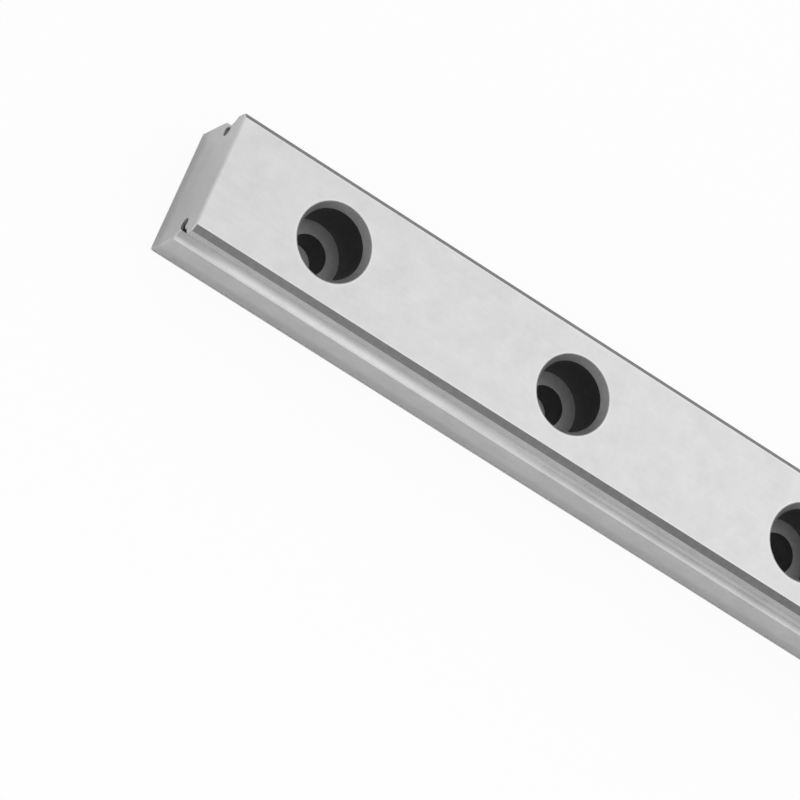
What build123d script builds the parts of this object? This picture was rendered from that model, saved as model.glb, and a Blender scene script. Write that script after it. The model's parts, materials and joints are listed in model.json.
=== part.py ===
from build123d import *
import os
from math import cos, radians, sin, sqrt, tan

# Miniature linear guide rail, size 7: one bar of hardened and ground stainless steel, with a
# ball raceway along each side and a row of counterbored screw holes.
# X runs along the rail, Y across it, +Z up. Millimetres.
# The origin is at the middle of the base face.

# The bar
rail_length = 150.0
rail_width = 7.0
rail_height = 4.8
top_chamfer = 0.3        # on both long top edges
base_chamfer = 0.15      # on both long base edges
end_chamfer = 0.08       # all round each sawn and ground end

# The raceways: each flank is an arc a little wider than the ball, and the two flanks
# meet in a gothic arch whose root is cut away by a narrow relief groove
ball_diameter = 1.5875
groove_conformity = 0.52     # flank radius over ball diameter
contact_angle = 45.0         # of the ball on each flank, from the horizontal
ball_center_height = 3.2     # above the base
ball_center_outside = 0.38   # beyond the side face
relief_width = 0.34
relief_depth = 0.7           # from the side face

# The screw holes
hole_pitch = 15.0
first_hole = 7.0             # from the end at -X
last_hole_margin = 3.0       # least distance from the last hole to the end at +X
screw_hole_diameter = 2.2
counterbore_diameter = 3.7
counterbore_depth = 3.0
mouth_diameter = 4.2         # of the bevel at the counterbore's mouth
mouth_bevel_angle = 60.0     # whole angle of that bevel's cone


def side_profile(side_y):
    """The right-hand half of the section, from the middle of the base to the middle of the top."""
    ball_radius = ball_diameter / 2
    flank_radius = groove_conformity * ball_diameter
    ball_y = side_y + ball_center_outside
    ball_z = ball_center_height
    reach_y = cos(radians(contact_angle))
    reach_z = sin(radians(contact_angle))

    # the lower flank touches the ball at its contact point, so its centre lies beyond the ball's
    contact_y = ball_y - ball_radius * reach_y
    contact_rise = ball_radius * reach_z
    flank_y = ball_y + (flank_radius - ball_radius) * reach_y
    flank_rise = (flank_radius - ball_radius) * reach_z
    lip_rise = sqrt(flank_radius**2 - (flank_y - side_y) ** 2) - flank_rise
    relief_half = relief_width / 2
    relief_mouth_y = flank_y - sqrt(flank_radius**2 - (relief_half + flank_rise) ** 2)
    relief_floor_y = side_y - relief_depth

    base_middle = (0, 0)
    lower_lip = (side_y, ball_z - lip_rise)
    upper_lip = (side_y, ball_z + lip_rise)
    top_middle = (0, rail_height)
    with BuildLine() as outline:
        Polyline(base_middle, (side_y - base_chamfer, 0), (side_y, base_chamfer), lower_lip)
        ThreePointArc(
            lower_lip,
            (contact_y, ball_z - contact_rise),
            (relief_mouth_y, ball_z - relief_half),
        )
        Polyline(
            (relief_mouth_y, ball_z - relief_half),
            (relief_floor_y, ball_z - relief_half),
            (relief_floor_y, ball_z + relief_half),
            (relief_mouth_y, ball_z + relief_half),
        )
        ThreePointArc(
            (relief_mouth_y, ball_z + relief_half),
            (contact_y, ball_z + contact_rise),
            upper_lip,
        )
        Polyline(
            upper_lip,
            (side_y, rail_height - top_chamfer),
            (side_y - top_chamfer, rail_height),
            top_middle,
        )
        Line(top_middle, base_middle)
    return outline.line


def screw_hole_cutter():
    """One counterbored screw hole with a bevelled mouth, as a solid turned about Z."""
    screw_radius = screw_hole_diameter / 2
    wall_radius = counterbore_diameter / 2
    mouth_radius = mouth_diameter / 2
    bevel_depth = (mouth_radius - wall_radius) / tan(radians(mouth_bevel_angle / 2))
    floor_z = rail_height - counterbore_depth
    clear = 1.0          # how far the cutter runs past the base and the top
    with BuildPart() as cutter:
        with BuildSketch(Plane.XZ):
            with BuildLine():
                Polyline(
                    (0, -clear),
                    (screw_radius, -clear),
                    (screw_radius, floor_z),
                    (wall_radius, floor_z),
                    (wall_radius, rail_height - bevel_depth),
                    (mouth_radius, rail_height),
                    (mouth_radius, rail_height + clear),
                    (0, rail_height + clear),
                    close=True,
                )
            make_face()
        revolve(axis=Axis.Z)
    return cutter.part


def hole_places():
    """The distance of each screw hole from the middle of the rail."""
    steps = int((rail_length - first_hole - last_hole_margin) // hole_pitch)
    return [first_hole + hole_pitch * step - rail_length / 2 for step in range(steps + 1)]


def guide_rail():
    """The whole rail: its section drawn out to length, ends chamfered, then drilled."""
    with BuildPart() as rail:
        with BuildSketch(Plane.YZ):
            make_face(side_profile(rail_width / 2).edges())
            mirror(about=Plane.YZ)
        extrude(amount=rail_length / 2, both=True)
        end_faces = rail.faces().filter_by(Axis.X).sort_by(Axis.X)
        chamfer((end_faces[0].edges() + end_faces[-1].edges()), end_chamfer)
        with Locations(*[(x, 0, 0) for x in hole_places()]):
            add(screw_hole_cutter(), mode=Mode.SUBTRACT)
    return rail.part


os.makedirs("parts", exist_ok=True)
rail = guide_rail()
export_step(rail, "parts/guide_rail.step")
print("screw holes:", len(hole_places()), "at", hole_places())
print("volume mm3:", round(rail.volume, 2))
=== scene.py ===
"""The looks of a miniature linear guide rail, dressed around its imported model. Blender 4.5, metres."""

import json
from math import cos, radians, sin

import bpy
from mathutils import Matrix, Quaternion, Vector


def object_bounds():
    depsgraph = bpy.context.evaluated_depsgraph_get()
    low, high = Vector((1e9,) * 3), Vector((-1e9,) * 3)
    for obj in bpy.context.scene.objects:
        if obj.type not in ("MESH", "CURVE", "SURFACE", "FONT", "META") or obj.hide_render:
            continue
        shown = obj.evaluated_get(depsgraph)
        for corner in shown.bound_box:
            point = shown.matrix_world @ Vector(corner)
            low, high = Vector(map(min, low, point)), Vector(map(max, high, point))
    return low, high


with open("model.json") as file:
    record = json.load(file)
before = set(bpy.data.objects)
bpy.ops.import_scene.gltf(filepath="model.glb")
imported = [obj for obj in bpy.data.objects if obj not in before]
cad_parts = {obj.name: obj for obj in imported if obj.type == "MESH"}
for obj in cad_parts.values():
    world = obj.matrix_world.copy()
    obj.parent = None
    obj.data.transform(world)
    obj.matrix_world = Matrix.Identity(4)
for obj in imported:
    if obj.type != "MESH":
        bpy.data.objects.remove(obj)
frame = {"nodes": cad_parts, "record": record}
cad_low, cad_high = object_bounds()


# The rail is one bar of hardened stainless steel. Its top, base, sides, ends and raceways are
# ground bright after hardening. The chamfers, the relief grooves at the roots of the raceways
# and the drilled holes are not, so they keep the dull grey film of the furnace.

# The real shape that the finish follows, in mm
mm_per_metre = 1000.0
mounts = {mount["name"]: mount for mount in frame["record"]["mounts"]}
first_hole_x = mounts["screw_hole_01"]["pos_m"][0] * mm_per_metre
hole_pitch = mounts["screw_hole_02"]["pos_m"][0] * mm_per_metre - first_hole_x
end_x, side_y, top_z = (size * mm_per_metre for size in cad_high)
top_chamfer = 0.3
base_chamfer = 0.15
raceway_height = 3.2         # of the raceway's middle, above the base
raceway_top_z = 3.9
ball_outside = 0.38          # how far the centre of a ball in the raceway lies beyond the side
ball_reach = 0.803           # from that centre to just past both ground flanks
relief_depth = 0.7           # of the relief groove's floor, from the side
relief_reach = 0.335         # from the middle of that floor to just past the groove's mouth
rim_radius = 2.14            # of the film round each hole's mouth
bevel_foot_z = 4.3           # just below the bevel of the mouth

# Where the finish changes on one face, and where shade and highlight are painted on, in mm
root_depth = 0.3             # from the side: deeper in, the raceway is darkened with painted shade
root_fade = 0.12
end_shade_length = 3.6           # of the painted shade at each end of the raceways, which mirror less light there
full_end_shade_length = 1.2     # the part of it next to the end
lip_width = 0.2              # of the raceways' lips, which the painted shade leaves out
lip_land = 0.05              # the part of it next to the side
foot_shade_height = 0.7            # of the painted shade along the foot of the sides and ends, near the floor
foot_shade_fade = 0.5
painted_highlight_width = 0.14          # of the painted highlight beside each edge of the top face
overlap = 0.015              # by which a zone takes in its own edges

# How a face is told by its normal, whose whole length is 1
least_upward = 0.2           # the least upward part of a face that looks up
least_lengthwise = 0.99      # the least lengthwise part of an end

# The finishes, and the painted shades and highlight
ground_steel = "#CBCBCB"
strip_steel = "#BFBFBF"      # the narrow strips above the raceways
lapped_steel = "#D9D9D9"     # the raceways, where the balls run
root_shade_steel = "#BABABA"       # painted shade at the raceways' roots
end_shade_steel = "#B0B0B0"      # painted shade at the raceways' ends
sawn_steel = "#C6C6C6"       # the ends, sawn and then ground
furnace_film = "#878787"     # on the chamfers
black_film = "#646464"       # thicker, on the walls of the holes and in the relief grooves
cut_film = "#B2B2B2"         # thinner, on the counterbore's cut floor
bevel_film = "#A4A4A4"       # and on the bevel of its mouth
ground_roughness = 0.34
lapped_roughness = 0.26
film_roughness = 0.55
foot_shade_tone = 0.86             # how bright the painted shade at the foot is, against the rest of its face
painted_highlight_tone = 1.1            # the same, for the painted highlight beside the edges of the top face

# The patterns' sizes, in mm, and how much each swings the colour to either side
line_width = 0.07            # real grinding lines are a few microns wide: these are drawn to show
line_length = 9.0
line_swing = 0.02
ring_width = 0.06            # the turned marks of the counterbores, coarser too
cloud_size = 1.3             # faint patches that the wheel leaves
cloud_swing = 0.08           # also of the roughness
film_grain = 0.3
grain_swing = 0.1
noise_low = 0.25             # most of a noise texture's values lie from here
noise_high = 0.75            # to here
mark_height = 0.6e-6         # in metres, from the foot of a mark to its crest


def linear(hex_colour):
    """An sRGB colour written as #RRGGBB, in the linear values that a shader takes."""
    parts = [int(hex_colour[i:i + 2], 16) / 255 for i in (1, 3, 5)]
    return tuple(c / 12.92 if c <= 0.04045 else ((c + 0.055) / 1.055) ** 2.4 for c in parts) + (1.0,)


def add(tree, kind, sockets=None, **settings):
    """Adds a node. A socket takes a plain value, another node's output, or a node for the first output
    that it has in use. A Mix node's socket 0 is the share of the second of its two numbers (2 and 3),
    vectors (4 and 5) or colours (6 and 7). A MapRange node turns the range 1 to 2 into 3 to 4."""
    node = tree.nodes.new("ShaderNode" + kind)
    for name, value in settings.items():
        setattr(node, name, value)
    for name, value in (sockets or {}).items():
        if isinstance(value, bpy.types.Node):
            value = next(output for output in value.outputs if output.enabled)
        if isinstance(value, bpy.types.NodeSocket):
            tree.links.new(value, node.inputs[name])
        else:
            node.inputs[name].default_value = value
    return node


# Ground stainless steel: a soft, slightly cloudy sheen, drawn out by fine lines, and plain dull
# grey wherever the film is left.
steel = bpy.data.materials.new("ground_stainless_steel")
steel.use_nodes = True
tree = steel.node_tree
tree.nodes.clear()

# Where a point is, in mm: along the rail, out from its middle, up, and off the nearest hole's axis
metres = add(tree, "TexCoord").outputs["Object"]
point = add(tree, "VectorMath", {0: metres, "Scale": mm_per_metre}, operation="SCALE")
x, y, z = add(tree, "SeparateXYZ", {0: point}).outputs
off_middle = add(tree, "Math", {0: x}, operation="ABSOLUTE")
out = add(tree, "Math", {0: y}, operation="ABSOLUTE")
section = add(tree, "CombineXYZ", {0: out, 1: z})
shifted = add(tree, "Math", {0: x, 1: hole_pitch / 2 - first_hole_x}, operation="ADD")
wrapped = add(tree, "Math", {0: shifted, 1: hole_pitch}, operation="FLOORED_MODULO")
off_hole = add(tree, "Math", {0: wrapped, 1: hole_pitch / 2}, operation="SUBTRACT")
spoke = add(tree, "CombineXYZ", {0: off_hole, 1: y})
radius = add(tree, "VectorMath", {0: spoke}, operation="LENGTH")
facing = add(tree, "SeparateXYZ", {0: add(tree, "NewGeometry").outputs["True Normal"]})
faces_up = add(tree, "Math", {0: facing.outputs["Z"], 1: least_upward}, operation="GREATER_THAN")

# The zones, each 1 inside and 0 outside, and between the two where it fades. First come the
# raceways, with the painted shade at their roots and at their ends
ball_center = (side_y + ball_outside, raceway_height, 0)
to_ball = add(tree, "VectorMath", {0: section, 1: ball_center}, operation="DISTANCE")
in_raceway = add(tree, "Math", {0: to_ball, 1: ball_reach}, operation="LESS_THAN")
# Deep in each raceway, at its root, the colour is darker: painted shade
root_y = side_y - root_depth
near_root = add(tree, "MapRange", {0: out, 1: root_y + root_fade / 2, 2: root_y - root_fade / 2})
root_shade = add(tree, "Math", {0: in_raceway, 1: near_root}, operation="MULTIPLY")
# Near each end the raceway, all but its lips, is darker: painted shade
near_end = add(tree, "MapRange", {0: off_middle, 1: end_x - end_shade_length, 2: end_x - full_end_shade_length})
inside_lip = add(tree, "MapRange", {0: out, 1: side_y - lip_land, 2: side_y - lip_width})
end_shade_reach = add(tree, "Math", {0: near_end, 1: inside_lip}, operation="MULTIPLY")
end_shade = add(tree, "Math", {0: in_raceway, 1: end_shade_reach}, operation="MULTIPLY")

# The strips above the raceways, and the ends
above_raceway = add(tree, "Math", {0: z, 1: raceway_top_z}, operation="GREATER_THAN")
on_side = add(tree, "Math", {0: out, 1: side_y - overlap}, operation="GREATER_THAN")
on_strip = add(tree, "Math", {0: above_raceway, 1: on_side}, operation="MULTIPLY")
off_end = add(tree, "Math", {0: facing.outputs["X"], 1: 0.0, 2: least_lengthwise}, operation="COMPARE")
on_end = add(tree, "Math", {0: 1.0, 1: off_end}, operation="SUBTRACT")

# The chamfers, as all that lies beyond a sloping line in the section
out_and_up = add(tree, "VectorMath", {0: section, 1: (1, 1, 0)}, operation="DOT_PRODUCT")
top_line = side_y + top_z - top_chamfer
on_top_chamfer = add(tree, "Math", {0: out_and_up, 1: top_line - overlap}, operation="GREATER_THAN")
out_and_down = add(tree, "VectorMath", {0: section, 1: (1, -1, 0)}, operation="DOT_PRODUCT")
base_line = side_y - base_chamfer
on_base_chamfer = add(tree, "Math", {0: out_and_down, 1: base_line - overlap}, operation="GREATER_THAN")
chamfered = add(tree, "Math", {0: on_top_chamfer, 1: on_base_chamfer}, operation="MAXIMUM")

# The relief grooves and the holes, with the floors and bevels that the cutter left cleaner
relief_center = (side_y - relief_depth, raceway_height, 0)
to_relief = add(tree, "VectorMath", {0: section, 1: relief_center}, operation="DISTANCE")
in_relief = add(tree, "Math", {0: to_relief, 1: relief_reach}, operation="LESS_THAN")
near_hole = add(tree, "Math", {0: radius, 1: rim_radius}, operation="LESS_THAN")
off_base = add(tree, "Math", {0: z, 1: overlap}, operation="GREATER_THAN")
in_hole = add(tree, "Math", {0: near_hole, 1: off_base}, operation="MULTIPLY")
recessed = add(tree, "Math", {0: in_relief, 1: in_hole}, operation="MAXIMUM")
freshly_cut = add(tree, "Math", {0: in_hole, 1: faces_up}, operation="MULTIPLY")
above_bevel_foot = add(tree, "Math", {0: z, 1: bevel_foot_z}, operation="GREATER_THAN")
on_bevel = add(tree, "Math", {0: freshly_cut, 1: above_bevel_foot}, operation="MULTIPLY")
filmed = add(tree, "Math", {0: chamfered, 1: recessed}, operation="MAXIMUM")

# Beside an edge of the top face, a line of painted highlight is brighter
from_chamfer = add(tree, "Math", {0: top_line, 1: out_and_up}, operation="SUBTRACT")
from_mouth = add(tree, "Math", {0: radius, 1: rim_radius}, operation="SUBTRACT")
from_edge = add(tree, "Math", {0: from_chamfer, 1: from_mouth}, operation="MINIMUM")
near_edge = add(tree, "MapRange", {0: from_edge, 1: painted_highlight_width, 2: 0.0})
painted_highlight = add(tree, "Math", {0: near_edge, 1: faces_up}, operation="MULTIPLY")

# Lines run along the rail, across its ends, and round its holes
lengthwise = (1 / line_length, 1 / line_width, 1 / line_width)
endwise = (1 / line_width, 1 / line_length, 1 / line_width)
line_scale = add(tree, "Mix", {0: on_end, 4: lengthwise, 5: endwise}, data_type="VECTOR")
straight = add(tree, "VectorMath", {0: point, 1: line_scale}, operation="MULTIPLY")
turning = add(tree, "CombineXYZ", {0: radius, 1: z})
round_hole = add(tree, "VectorMath", {0: turning, "Scale": 1 / ring_width}, operation="SCALE")
line_place = add(tree, "Mix", {0: in_hole, 4: straight, 5: round_hole}, data_type="VECTOR")
lines = add(tree, "TexNoise", {"Vector": line_place, "Scale": 1.0, "Detail": 2.0, "Roughness": 0.6})
clouds = add(tree, "TexNoise", {"Vector": point, "Scale": 1 / cloud_size, "Detail": 4.0, "Roughness": 0.68})
grains = add(tree, "TexNoise", {"Vector": point, "Scale": 1 / film_grain, "Detail": 3.0, "Roughness": 0.6})

# Colour: each finish or painted shade lies over those before it, wherever its zone is
plain = linear(ground_steel)
for zone, finish in (
    (on_strip, strip_steel),
    (in_raceway, lapped_steel),
    (root_shade, root_shade_steel),
    (end_shade, end_shade_steel),
    (on_end, sawn_steel),
    (chamfered, furnace_film),
    (recessed, black_film),
    (freshly_cut, cut_film),
    (on_bevel, bevel_film),
):
    plain = add(tree, "Mix", {0: zone, 6: plain, 7: linear(finish)}, data_type="RGBA")

# Lines and clouds tint the bright steel, and grains tint the film
line_tone, cloud_tone, grain_tone = (
    add(tree, "MapRange", {0: pattern, 1: noise_low, 2: noise_high, 3: 1 - swing, 4: 1 + swing})
    for pattern, swing in ((lines, line_swing), (clouds, cloud_swing), (grains, grain_swing))
)
marks = add(tree, "Math", {0: line_tone, 1: cloud_tone}, operation="MULTIPLY")
# A painted highlight brightens the line beside each edge of the top face
edges = add(tree, "MapRange", {0: painted_highlight, 3: 1.0, 4: painted_highlight_tone})
# Painted shade darkens the foot of the sides and ends
foot_shade = add(tree, "MapRange", {0: z, 1: foot_shade_height, 2: foot_shade_height + foot_shade_fade, 3: foot_shade_tone, 4: 1.0})
highlight_and_shade = add(tree, "Math", {0: edges, 1: foot_shade}, operation="MULTIPLY")
bright_tone = add(tree, "Math", {0: marks, 1: highlight_and_shade}, operation="MULTIPLY")
tone = add(tree, "Mix", {0: filmed, 2: bright_tone, 3: grain_tone})
colour = add(tree, "VectorMath", {0: plain, "Scale": tone}, operation="SCALE")

# Roughness and relief
bright_roughness = add(tree, "Mix", {0: in_raceway, 2: ground_roughness, 3: lapped_roughness})
plain_roughness = add(tree, "Mix", {0: filmed, 2: bright_roughness, 3: film_roughness})
roughness = add(tree, "Math", {0: plain_roughness, 1: cloud_tone}, operation="MULTIPLY")
relief = add(tree, "Mix", {0: filmed, 2: lines, 3: grains})
bump = add(tree, "Bump", {"Height": relief, "Distance": mark_height})

shader = add(
    tree,
    "BsdfPrincipled",
    {"Base Color": colour, "Metallic": 1.0, "Roughness": roughness, "Normal": bump},
)
add(tree, "OutputMaterial", {"Surface": shader})

rail = frame["nodes"]["guide_rail"]
for material_slot in rail.material_slots:
    material_slot.material = steel


# The floor is matt white card. It takes the rail's soft shadow, and it shows white to the
# camera and in the steel's reflections.
floor_half = 2.0             # metres, from the middle to each side
floor_white = "#F0F0F0"
seen_white = 0.93            # how much of the floor that the camera sees is plain white
mirrored_white = 0.12        # the same, for the floor that the steel mirrors

card = bpy.data.materials.new("matt_white_card")
card.use_nodes = True
tree = card.node_tree
tree.nodes.clear()
ray = add(tree, "LightPath").outputs
bounced = add(tree, "Math", {0: ray["Is Glossy Ray"], 1: ray["Is Transmission Ray"]}, operation="ADD")
mirrored = add(tree, "Math", {0: bounced, 1: mirrored_white}, operation="MULTIPLY")
seen = add(tree, "Math", {0: ray["Is Camera Ray"], 1: seen_white}, operation="MULTIPLY")
plain_white = add(tree, "Math", {0: seen, 1: mirrored}, operation="ADD")

# Straight under the rail no part of the card is plain white, so the bottoms of the holes stay dark
spot = add(tree, "TexCoord").outputs["Object"]
outward = add(tree, "VectorMath", {0: spot}, operation="ABSOLUTE")
past_rail = add(tree, "VectorMath", {0: outward, 1: cad_high}, operation="SUBTRACT")
past = add(tree, "SeparateXYZ", {0: past_rail}).outputs
farthest = add(tree, "Math", {0: past["X"], 1: past["Y"]}, operation="MAXIMUM")
in_the_open = add(tree, "Math", {0: farthest, 1: 0.0}, operation="GREATER_THAN")
share = add(tree, "Math", {0: plain_white, 1: in_the_open}, operation="MULTIPLY")
matt = add(tree, "BsdfDiffuse", {"Color": linear(floor_white)})
white = add(tree, "Emission", {"Color": (1, 1, 1, 1), "Strength": 1.0})
surface = add(tree, "MixShader", {0: share, 1: matt, 2: white})
add(tree, "OutputMaterial", {"Surface": surface})

floor_corners = [
    (-floor_half, -floor_half, 0),
    (floor_half, -floor_half, 0),
    (floor_half, floor_half, 0),
    (-floor_half, floor_half, 0),
]
floor_mesh = bpy.data.meshes.new("floor")
floor_mesh.from_pydata(floor_corners, [], [(0, 1, 2, 3)])
floor_mesh.materials.append(card)
floor = bpy.data.objects.new("floor", floor_mesh)
bpy.context.scene.collection.objects.link(floor)


# The light is a white room that is dimmer low down on the camera's side, with a large soft lamp
# above and behind the rail, and a small one low down in front of its near end. Lengths are in metres.
dim_side = (0.0, -1.0, 0.0)
dim_from = 0.62              # cosine of the angle off the dim side at which the dimming starts
dimmest_from = 0.93          # and at which it is complete
dim_strength = 0.42
room_strength = 0.92

room = bpy.data.worlds.new("studio")
bpy.context.scene.world = room
room.use_nodes = True
tree = room.node_tree
tree.nodes.clear()
direction = add(tree, "TexCoord").outputs["Generated"]
to_dim_side = add(tree, "VectorMath", {0: direction, 1: dim_side}, operation="DOT_PRODUCT")
room_level = add(
    tree,
    "MapRange",
    {0: to_dim_side, 1: dim_from, 2: dimmest_from, 3: room_strength, 4: dim_strength},
)
ray = add(tree, "LightPath").outputs
strength = add(tree, "Mix", {0: ray["Is Camera Ray"], 2: room_level, 3: 1.0})
background = add(tree, "Background", {"Color": (1, 1, 1, 1), "Strength": strength})
add(tree, "OutputWorld", {"Surface": background})

for lamp_name, lamp_aim, lamp_direction, lamp_distance, lamp_size, lamp_watts in (
    ("back_lamp", (-0.010, 0.0, 0.005), (0.33, 0.40, 0.86), 0.26, 0.16, 0.034),
    ("end_lamp", (-0.0705, -0.0094, 0.0027), (0.33, -0.87, 0.365), 0.045, 0.034, 0.0017),
):
    reach = Vector(lamp_direction).normalized()
    lamp_data = bpy.data.lights.new(lamp_name, "AREA")
    lamp_data.shape = "SQUARE"
    lamp_data.size = lamp_size
    lamp_data.energy = lamp_watts
    lamp = bpy.data.objects.new(lamp_name, lamp_data)
    lamp.location = Vector(lamp_aim) + reach * lamp_distance
    lamp.rotation_mode = "QUATERNION"
    lamp.rotation_quaternion = (-reach).to_track_quat("-Z", "Y")
    lamp.visible_camera = False
    bpy.context.scene.collection.objects.link(lamp)


# The view of the photograph: a long lens on the near end of the rail, looking down on it, with
# the camera turned on its side so that the rail runs down to the right.
view_aim = Vector((-0.060512, -0.004272, 0.0024))
view_distance = 0.362555
look_azimuth = radians(39.59)       # from +Y towards +X
look_elevation = radians(58.99)     # below the level
camera_roll = radians(67.63)
lens_mm = 325.73
sensor_mm = 36.0

look = Vector((
    sin(look_azimuth) * cos(look_elevation),
    cos(look_azimuth) * cos(look_elevation),
    -sin(look_elevation),
))
camera_data = bpy.data.cameras.new("camera")
camera_data.sensor_width = sensor_mm
camera_data.lens = lens_mm
camera = bpy.data.objects.new("camera", camera_data)
camera.location = view_aim - look * view_distance
camera.rotation_mode = "QUATERNION"
camera.rotation_quaternion = look.to_track_quat("-Z", "Y") @ Quaternion((0, 0, 1), camera_roll)
bpy.context.scene.collection.objects.link(camera)
bpy.context.scene.camera = camera
bpy.context.scene.view_settings.view_transform = "Standard"
